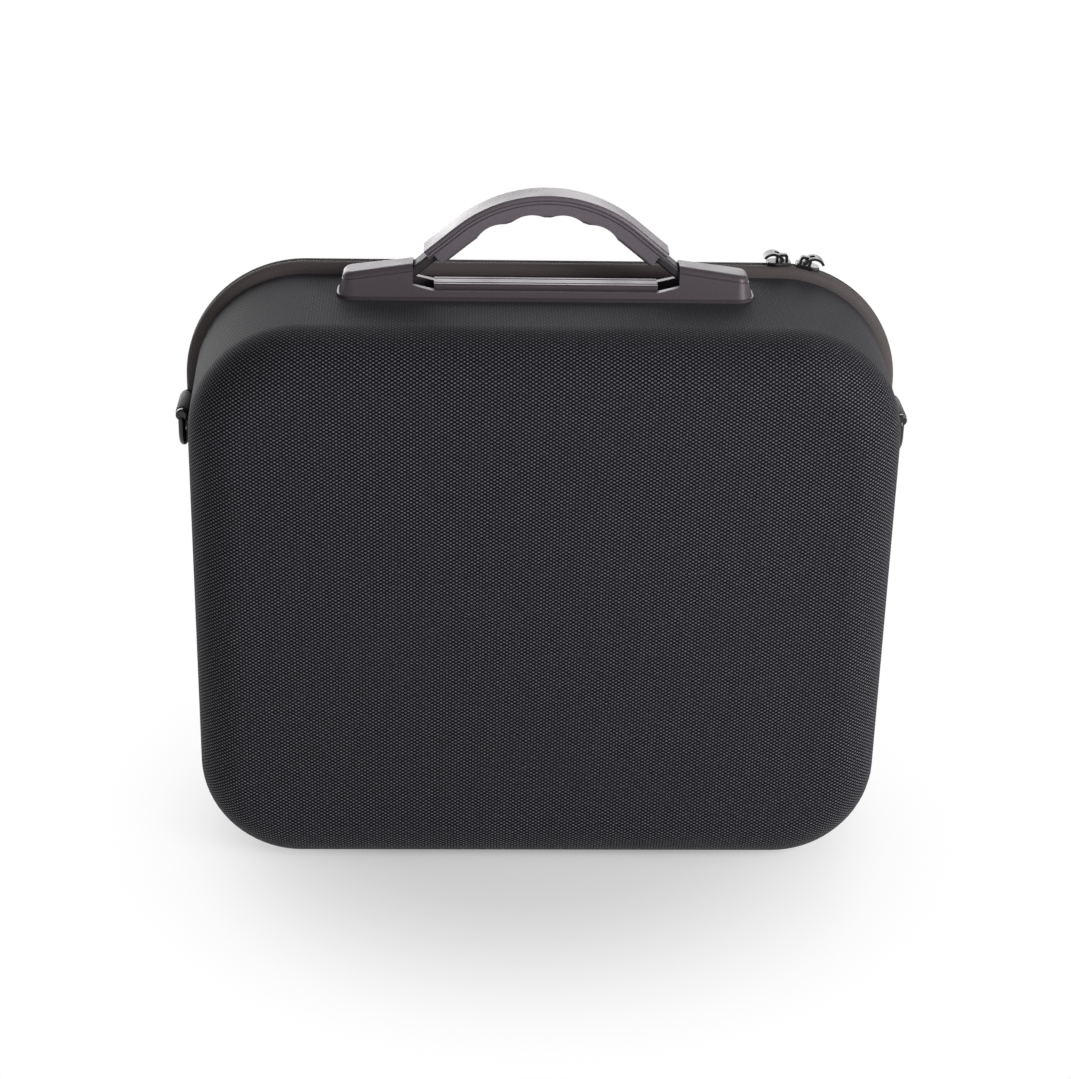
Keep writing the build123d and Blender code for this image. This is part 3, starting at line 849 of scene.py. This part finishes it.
def make_teeth(name, body, side):
    """One row of teeth along the rim; side is -1 at the front shell and 1 at the lid."""
    start = TOOTH_PITCH * (0.3 if side < 0 else 0.8)
    low_z, high_z = sorted((-side * TOOTH_TIP, -side * TOOTH_BACK))
    low = (start - TOOTH_HALF, TOOTH_FOOT, low_z)
    piece = new_block(name, low, (start + TOOTH_HALF, TOOTH_TOP, high_z))
    pick(piece, "FACE", lambda face: face.normal.z * side < -0.9)
    bpy.ops.mesh.extrude_region_move(TRANSFORM_OT_translate={"value": (0, 0, -side * ROOT_LENGTH * MM)})
    bpy.ops.transform.resize(value=ROOT_SIZE, center_override=(start * MM, TOOTH_FOOT * MM, 0))
    pick(piece, "EDGE", on_head)
    bevel_picked(TOOTH_ROUNDING, 1)
    leave_edit()
    count = int((zip_length - start) / TOOTH_PITCH)
    repeat(piece, count, TOOTH_PITCH)
    lay_on_rim(piece, zip_line)
    dress(piece, teeth_nylon, 50)
    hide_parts("zipper_" + name)
    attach(piece, body)
    print(name, count, "teeth")
    tell(piece)


make_teeth("teeth_front", "front", -1)
make_teeth("teeth_rear", "lid", 1)

# %% [markdown]
# ## Hinge strip
# Along the bottom a fabric strip joins the two rims and bends when the lid opens. It
# could be split at the joint, but cloth doesn't tear, so it is one rim strip with
# enough rows across it to bend.

# %% Hinge strip
HINGE_PARTS, HINGE_STEPS, HINGE_THICK = 8, 96, 0.9
HINGE_HALF, HINGE_DEEP, HINGE_SAG = 5.5, -1.2, 0.5
hinge_section = []
for number in range(HINGE_PARTS + 1):
    share = number / HINGE_PARTS
    hinge_section.append((HINGE_HALF * (2 * share - 1), HINGE_DEEP - HINGE_SAG * math.sin(math.pi * share)))
hinge_make = (HINGE_STEPS, HINGE_THICK, lambda place: Vector((0, 1, 0)))
hinge = rim_strip("hinge_cloth", hinge_section, hinge_line, hinge_length, *hinge_make)
dress(hinge, tape_cloth, 50)
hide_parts("hinge_strip")
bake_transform(hinge)
tell(hinge)
for line in (zip_line, hinge_line):
    bpy.data.objects.remove(line)

# %% [markdown]
# ## Webbing loops
# Each ring hangs in ribbed webbing that is folded over the ring's bar and sewn down
# in two layers. A simulation would only wrinkle it, and webbing this short stays
# flat, so it is a ribbon along the fold. Its tail leans with the drafted wall.

# %% Fold of the webbing
RING_Y, BAR_Z = 8.0, 218.5
WEBBING_WIDTH, WEBBING_THICK, WEBBING_ROUNDING = 21.0, 1.15, 0.35
WALL_X = HALF_WIDTH - SIDE_SLOPE * (FRONT_RIM - RING_Y)
BAR_X = WALL_X + SIDE_SLOPE * WEBBING_WIDTH / 2 + 4.7
INNER_LAYER, OUTER_LAYER = WALL_X + 0.74, WALL_X + 2.04
LAYER_HEIGHTS = (187.8, 195.0, 203.0, 211.0)
FOLD_RADIUS = 2.75
fold = [(INNER_LAYER, height) for height in LAYER_HEIGHTS]
fold += [(INNER_LAYER + 0.25, 215.5), (INNER_LAYER + 0.9, 218.6)]
for degrees in range(140, -151, -30):
    turn = math.radians(degrees)
    fold.append((BAR_X + FOLD_RADIUS * math.cos(turn), BAR_Z + FOLD_RADIUS * math.sin(turn)))
fold.append((OUTER_LAYER + 0.2, 214.0))
fold += [(OUTER_LAYER, height) for height in reversed(LAYER_HEIGHTS)]
print("webbing fold:", len(fold), "points, bar at", round(BAR_X, 2), BAR_Z)

# %% [markdown]
# The two loops are mirrored by the sign of their X values. Mirrored faces can point
# inwards, so the normals of each finished loop are recalculated.

# %% Webbing loops
LEAN_BELOW, LEAN_OVER = BAR_Z - 3, 6


def make_loop(name, side):
    """Folded webbing on one side of the case."""
    rows = [Vector((side * x, RING_Y - WEBBING_WIDTH / 2, z)) for x, z in fold]
    piece = new_ribbon("webbing_" + name, rows, Vector((0, WEBBING_WIDTH, 0)))
    map_ribbon(piece, rows, axis=1)
    for corner in piece.data.vertices:
        flat_share = min(1.0, max(0.0, (LEAN_BELOW - corner.co.z / MM) / LEAN_OVER))
        corner.co.x += side * SIDE_SLOPE * (corner.co.y - RING_Y * MM) * flat_share
    apply_modifier(piece, "SOLIDIFY", thickness=WEBBING_THICK * MM, offset=0.0, use_even_offset=True)
    round_edges(piece, WEBBING_ROUNDING, 60)
    pick(piece, "FACE")
    bpy.ops.mesh.normals_make_consistent(inside=False)
    leave_edit()
    dress(piece, webbing_cloth, 50)
    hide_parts("strap_loop_" + name)
    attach(piece, "front")
    tell(piece)


make_loop("left", -1)
make_loop("right", 1)

# %% [markdown]
# The two layers are sewn down with a box of thread. It could be a bump in the
# material, but stitches catch the light at their ends, so each is a small bevelled
# block, half sunk in the webbing, and all of them are joined.

# %% Stitches
STITCH, STITCH_STEP, STITCH_THICK, STITCH_ROUNDING = 2.4, 3.0, 0.6, 0.22
STITCH_LIFT = 0.6
BOX_LOW, BOX_HIGH, BOX_HALF = 190.0, 208.0, 7.5


def stitch_places():
    """Centre of each stitch of the box in depth and height, and whether it stands upright."""
    for number in range(round(2 * BOX_HALF / STITCH_STEP)):
        depth = RING_Y - BOX_HALF + STITCH_STEP * (number + 0.5)
        yield from ((depth, BOX_LOW, False), (depth, BOX_HIGH, False))
    for number in range(round((BOX_HIGH - BOX_LOW) / STITCH_STEP)):
        height = BOX_LOW + STITCH_STEP * (number + 0.5)
        yield from ((RING_Y - BOX_HALF, height, True), (RING_Y + BOX_HALF, height, True))


def one_stitch(side, depth, height, upright):
    """One stitch on the outer layer of a loop."""
    long, wide = STITCH / 2, STITCH_THICK / 2
    half_y, half_z = (wide, long) if upright else (long, wide)
    x = side * (OUTER_LAYER + STITCH_LIFT + SIDE_SLOPE * (depth - RING_Y))
    low = (x - wide, depth - half_y, height - half_z)
    stitch = new_block("stitch", low, (x + wide, depth + half_y, height + half_z))
    pick(stitch, "EDGE")
    bevel_picked(STITCH_ROUNDING, EDGE_SEGMENTS)
    leave_edit()
    return stitch


def sew(name, side):
    """The box of stitches on one loop's tail."""
    stitches = [one_stitch(side, *place) for place in stitch_places()]
    alone(stitches[0])
    for stitch in stitches:
        stitch.select_set(True)
    bpy.ops.object.join()
    piece = name_new("stitches_" + name)
    dress(piece, thread, 50)
    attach(piece, "front")
    tell(piece)


sew("left", -1)
sew("right", 1)

# %% [markdown]
# ## Foam insert
# Inside the front shell sits a firm foam block under a soft pile, with a large well
# for the console and two below it for what goes with it. It could be a simulated
# cushion, but the foam is firm, so it starts as the shell's rounded block, a little
# smaller, and bisect cuts it off at its open face.

# %% Insert block
INSERT_GAP = 0.3
INSERT_FACE = 16.0
inset = WALL + INSERT_GAP
insert_draft = SIDE_SLOPE * (FRONT_RIM - FRONT_FACE - inset)
insert = rounded_case("insert_foam", FRONT_RIM, FRONT_FACE + inset, insert_draft, FRONT_EDGE - inset, inset)
pick(insert, "FACE")
open_face = {"plane_co": (0, INSERT_FACE * MM, 0), "plane_no": (0, 1, 0)}
bpy.ops.mesh.bisect(use_fill=True, clear_outer=True, clear_inner=False, **open_face)
leave_edit()
tell(insert)

# %% [markdown]
# The wells are cut with Booleans from rounded cutters, and a plain slot leaves room
# for the handle's backing plate. The open face's edges are then rolled with a bevel,
# as the pile is glued round them.

# %% Wells of the insert
WELL_CORNER, WELL_FLOOR = 12.0, 5.0
WELL_MOUTH = 40
SMALL_WELL_X, SMALL_WELL_HALF = 66, 59
ROLLED_EDGE, SHARP = 2.2, 1.0


def cut_well(low, high):
    """Cut a round-cornered well between two corners, in millimetres."""
    cutter = new_block("cutter", low, high)
    pick(cutter, "EDGE", along_depth)
    bevel_picked(WELL_CORNER, 8)
    pick(cutter, "EDGE", lambda edge: on_depth(edge, low[1]))
    bevel_picked(WELL_FLOOR, 4)
    leave_edit()
    cut_away(insert, cutter)


cut_well((-125, -29, 137.5), (125, WELL_MOUTH, 249.5))
for middle in (-SMALL_WELL_X, SMALL_WELL_X):
    cut_well((middle - SMALL_WELL_HALF, -44, 31.5), (middle + SMALL_WELL_HALF, WELL_MOUTH, 123.5))
plate_slot = new_block("cutter", (-99.3, HANDLE_Y - 8.3, SEAT - 8.6), (99.3, WELL_MOUTH, 300))
cut_away(insert, plate_slot)
pick(insert, "EDGE", lambda edge: on_depth(edge, INSERT_FACE) and edge.calc_face_angle(0) > SHARP)
bevel_picked(ROLLED_EDGE, 4, clamp=True)
pick(insert, "FACE")
bpy.ops.uv.cube_project(cube_size=1.0, correct_aspect=False)
leave_edit()
dress(insert, insert_cloth, 40)
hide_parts("foam_insert")
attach(insert, "front")
tell(insert)

# %% [markdown]
# ## Mesh pocket
# The lid carries a net pocket with a bound edge. A net could be made of wires, but at
# this size the holes are cheaper in the material: the weave's height is
# half way between dot and gap along a net of lines, and alpha keeps only those.

# %% Net finish
NET_PITCH = 3.2
STRAND, STRAND_EDGE = 0.12, 0.2
net, tree, shader = new_finish("pocket_net", roughness=0.6, specular=0.3)
net_sizes = {"Across": NET_PITCH * MM, "Along": NET_PITCH * MM, "Fray": 0.1}
yarns = use_group(tree, weave_group, coordinates(tree, "UV"), **net_sizes)
from_line = sums(tree, "ABSOLUTE", sums(tree, "SUBTRACT", yarns["Height"], 0.5))
plug(tree, ramp(tree, from_line, STRAND, STRAND_EDGE, 1.0, 0.0), shader.inputs["Alpha"])
strand_colour = blend_colours(tree, yarns["Tone"], shade(34, 34, 36), shade(58, 58, 62))
plug(tree, strand_colour, shader.inputs["Base Color"])
bump(tree, shader, yarns["Tone"], 0.05 * MM)
print("net:", len(tree.nodes), "nodes")

# %% [markdown]
# The net is a grid that lies on the lid's lining and bulges slightly in the middle.
# The bulge could be simulated, but a stretched net keeps this even swell, so each
# point is moved by a formula, and points past a corner are pulled onto its rounding.

# %% Pocket net
POCKET_HALF, POCKET_TALL, POCKET_CORNER = 125.0, 75.0, 18.0
POCKET_MIDDLE = 140.5
LID_INSIDE = 61.0
NET_LIFT, NET_SWELL, SWELL_POWER = 0.6, 2.0, 0.6
hands_off()
net_place = (0, (LID_INSIDE - NET_LIFT) * MM, POCKET_MIDDLE * MM)
bpy.ops.mesh.primitive_grid_add(
    x_subdivisions=50, y_subdivisions=30, size=1, location=net_place, rotation=(QUARTER, 0, 0)
)
bpy.context.object.scale = (2 * POCKET_HALF * MM, 2 * POCKET_TALL * MM, 1)
pocket = name_new("pocket_net")
for corner in pocket.data.vertices:
    x, z = corner.co.x / MM, corner.co.z / MM - POCKET_MIDDLE
    past_x = abs(x) - POCKET_HALF + POCKET_CORNER
    past_z = abs(z) - POCKET_TALL + POCKET_CORNER
    if past_x > 0 and past_z > 0:
        shrink = max(past_x, past_z) / math.hypot(past_x, past_z)
        corner.co.x = math.copysign(POCKET_HALF - POCKET_CORNER + past_x * shrink, x) * MM
        up = math.copysign(POCKET_TALL - POCKET_CORNER + past_z * shrink, z)
        corner.co.z = (up + POCKET_MIDDLE) * MM
    swell = math.cos(x / POCKET_HALF * QUARTER) * math.cos(z / POCKET_TALL * QUARTER)
    corner.co.y -= NET_SWELL * max(0.0, swell) ** SWELL_POWER * MM
map_cloth(pocket, lambda place: (place.x, place.z))
dress(pocket, net, 60)
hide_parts("mesh_pocket")
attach(pocket, "lid")
tell(pocket)

# %% [markdown]
# The binding is a flat rounded frame of tape. It could be a ribbon bent round the
# net, but a block is quicker: its corners are bevelled, its two flat faces are inset,
# their middles are deleted, and the two open edges are bridged into a frame.

# %% Pocket binding
BINDING_THICK, BINDING_WIDTH, BINDING_ROUNDING = 1.2, 7.0, 0.4
low = (-POCKET_HALF, LID_INSIDE - BINDING_THICK, POCKET_MIDDLE - POCKET_TALL)
binding = new_block("pocket_binding", low, (POCKET_HALF, LID_INSIDE, POCKET_MIDDLE + POCKET_TALL))
pick(binding, "EDGE", along_depth)
bevel_picked(POCKET_CORNER, 10)
pick(binding, "FACE", lambda face: abs(face.normal.y) > 0.9)
bpy.ops.mesh.inset(thickness=BINDING_WIDTH * MM)
bpy.ops.mesh.delete(type="FACE")
pick(binding, "EDGE", lambda edge: edge.is_boundary)
bpy.ops.mesh.bridge_edge_loops()
leave_edit()
round_edges(binding, BINDING_ROUNDING, 50)
pick(binding, "FACE")
bpy.ops.mesh.normals_make_consistent(inside=False)
bpy.ops.uv.cube_project(cube_size=1.0, correct_aspect=False)
leave_edit()
dress(binding, tape_cloth, 50)
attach(binding, "lid")
tell(binding)

# %% [markdown]
# ## Floor and light
# The case stands on a white floor that keeps its contact shadow. A floor lit like the
# case is only pale grey, so it fades to plain white in a circle round the case, but
# only as it is seen. Next to the case a share of that white is still mixed in, as
# painted light that lightens the contact shadow. The light that it throws back on the
# case stays as it is.

# %% Floor
FLOOR_SIZE = 6
# The least share of plain white is painted light, seen even in the contact shadow.
FADE_FROM, FADE_TO, LEAST_PAINTED_WHITE = 0.075, 0.235, 0.3


def as_seen(tree):
    """1 for what the camera, a reflection or a clear piece sees, 0 for light on the case."""
    rays = tree.nodes.new("ShaderNodeLightPath")
    seen = sums(tree, "MAXIMUM", rays.outputs["Is Camera Ray"], rays.outputs["Is Glossy Ray"])
    return sums(tree, "MAXIMUM", seen, rays.outputs["Is Transmission Ray"])


hands_off()
bpy.ops.mesh.primitive_plane_add(size=FLOOR_SIZE)
floor = name_new("floor")
floor_finish, tree, shader = new_finish("white_floor", roughness=0.4, specular=0.25)
shader.inputs["Base Color"].default_value = (0.95, 0.95, 0.95, 1)
glow = tree.nodes.new("ShaderNodeEmission")
glow.inputs["Color"].default_value = WHITE
far = tree.nodes.new("ShaderNodeVectorMath")
far.operation = "LENGTH"
plug(tree, coordinates(tree, "Object"), far.inputs[0])
# Painted light: the share of plain white that is seen, never below the least share, even in the shadow.
painted_white_share = ramp(tree, far.outputs["Value"], FADE_FROM, FADE_TO, LEAST_PAINTED_WHITE, 1.0)
blend = tree.nodes.new("ShaderNodeMixShader")
plug(tree, sums(tree, "MULTIPLY", painted_white_share, as_seen(tree)), blend.inputs[0])
plug(tree, shader.outputs[0], blend.inputs[1])
plug(tree, glow.outputs[0], blend.inputs[2])
plug(tree, blend.outputs[0], tree.nodes["Material Output"].inputs["Surface"])
floor.data.materials.append(floor_finish)
print("floor", FLOOR_SIZE, "m wide, white from", FADE_TO, "m on")

# %% [markdown]
# The world lights the case softly from all round. What the camera and the reflections
# see of it is a white backdrop up to a little above the horizon, and a ceiling as dim
# as the world's light, so that the upward faces don't mirror white.

# %% World
AMBIENT = 0.28
BACKDROP_TOP, CEILING = 0.12, 0.34
world = bpy.context.scene.world or bpy.data.worlds.new("studio")
bpy.context.scene.world = world
world.use_nodes = True
tree = world.node_tree
background = tree.nodes["Background"]
background.inputs["Color"].default_value = WHITE
aim = tree.nodes.new("ShaderNodeSeparateXYZ")
plug(tree, coordinates(tree, "Generated"), aim.inputs[0])
backdrop = ramp(tree, aim.outputs["Z"], BACKDROP_TOP, CEILING, 1.0, AMBIENT)
brighter = sums(tree, "SUBTRACT", backdrop, AMBIENT)
share = sums(tree, "MULTIPLY", as_seen(tree), brighter)
plug(tree, sums(tree, "ADD", share, AMBIENT), background.inputs["Strength"])
print("world light", AMBIENT)

# %% [markdown]
# Two large lamps behind the case put the soft sheen on its top edges and handle, and
# one in front on the right lights its face. Small strong lamps would clip the grip's
# highlight to white, so all three are wide and weak.

# %% Lamps
LAMPS = [
    ("back_right_lamp", (0.3, 1.3, 0.9), (0, 0, 0.25), 0.9, 7.0),
    ("back_left_lamp", (-0.6, 1.2, 0.5), (0, 0, 0.25), 1.1, 13.0),
    ("front_lamp", (1.0, -0.85, 0.7), (0, 0, 0.1), 0.7, 15.5),
]
for name, place, target, size, watts in LAMPS:
    lamp = bpy.data.lights.new(name, "AREA")
    lamp.size = size
    lamp.energy = watts
    holder = bpy.data.objects.new(name, lamp)
    holder.visible_camera = False
    bpy.context.collection.objects.link(holder)
    way = Vector(target) - Vector(place)
    holder.matrix_world = Matrix.Translation(place) @ way.to_track_quat("-Z", "Y").to_matrix().to_4x4()
bpy.context.scene.view_settings.view_transform = "Standard"
print("lamps:", len(LAMPS))
